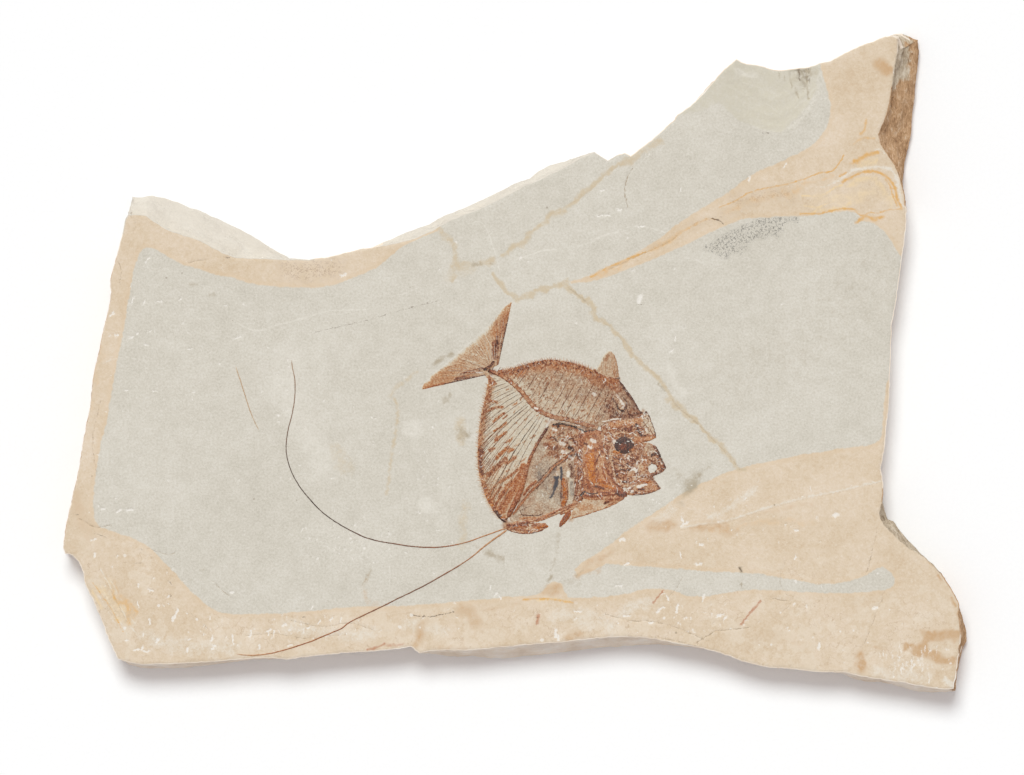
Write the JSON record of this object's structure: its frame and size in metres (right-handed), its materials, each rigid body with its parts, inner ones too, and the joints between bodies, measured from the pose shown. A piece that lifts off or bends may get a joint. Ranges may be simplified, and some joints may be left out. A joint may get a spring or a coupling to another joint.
{
  "type": "fossil fish slab",
  "caption": "Broken limestone slab with a deep-bodied moonfish fossil lying in its split face: forked tail, ribbed body, rust-brown head and two long trailing fin rays.",
  "frame": {"origin": "middle of the bounding box on the flat underside of the slab", "axes": "+Z is out of the split face that shows the fish, which looks up; +X runs along the slab's long side, from the tail's side to the head's side; +Y runs across the slab towards its high corner"},
  "size_m": [0.6038, 0.4416, 0.0254],
  "materials": {
    "limestone": "matt, fine-grained, slightly chalky",
    "body_film": "matt, thin brown film on stone",
    "fin_film": "matt, thin tan film on stone",
    "bone": "dull, rust-brown mineralised bone",
    "amber_bone": "slightly glossy, amber mineralised bone",
    "pale_bone": "matt, pale tan mineralised bone",
    "dark_bone": "dull, near-black mineral",
    "ray_bone": "dull, dark brown mineralised fin ray"
  },
  "bodies": {
    "root": {"slab": "limestone", "skull": "bone", "eye": "dark_bone", "lower_jaw": "bone", "gill_cover": "amber_bone", "throat": "pale_bone", "shoulder_bone": "bone", "backbone": "bone", "upper_flank": "body_film", "dorsal_fin": "fin_film", "tail_fin": "fin_film", "fin_support_fan": "body_film", "belly_strut": "bone", "abdomen": "body_film", "belly_keel": "bone", "pelvic_spine": "amber_bone", "pelvic_ray_upper": "ray_bone", "pelvic_ray_lower": "ray_bone", "ray_fragment": "ray_bone"}
  },
  "joints": []
}
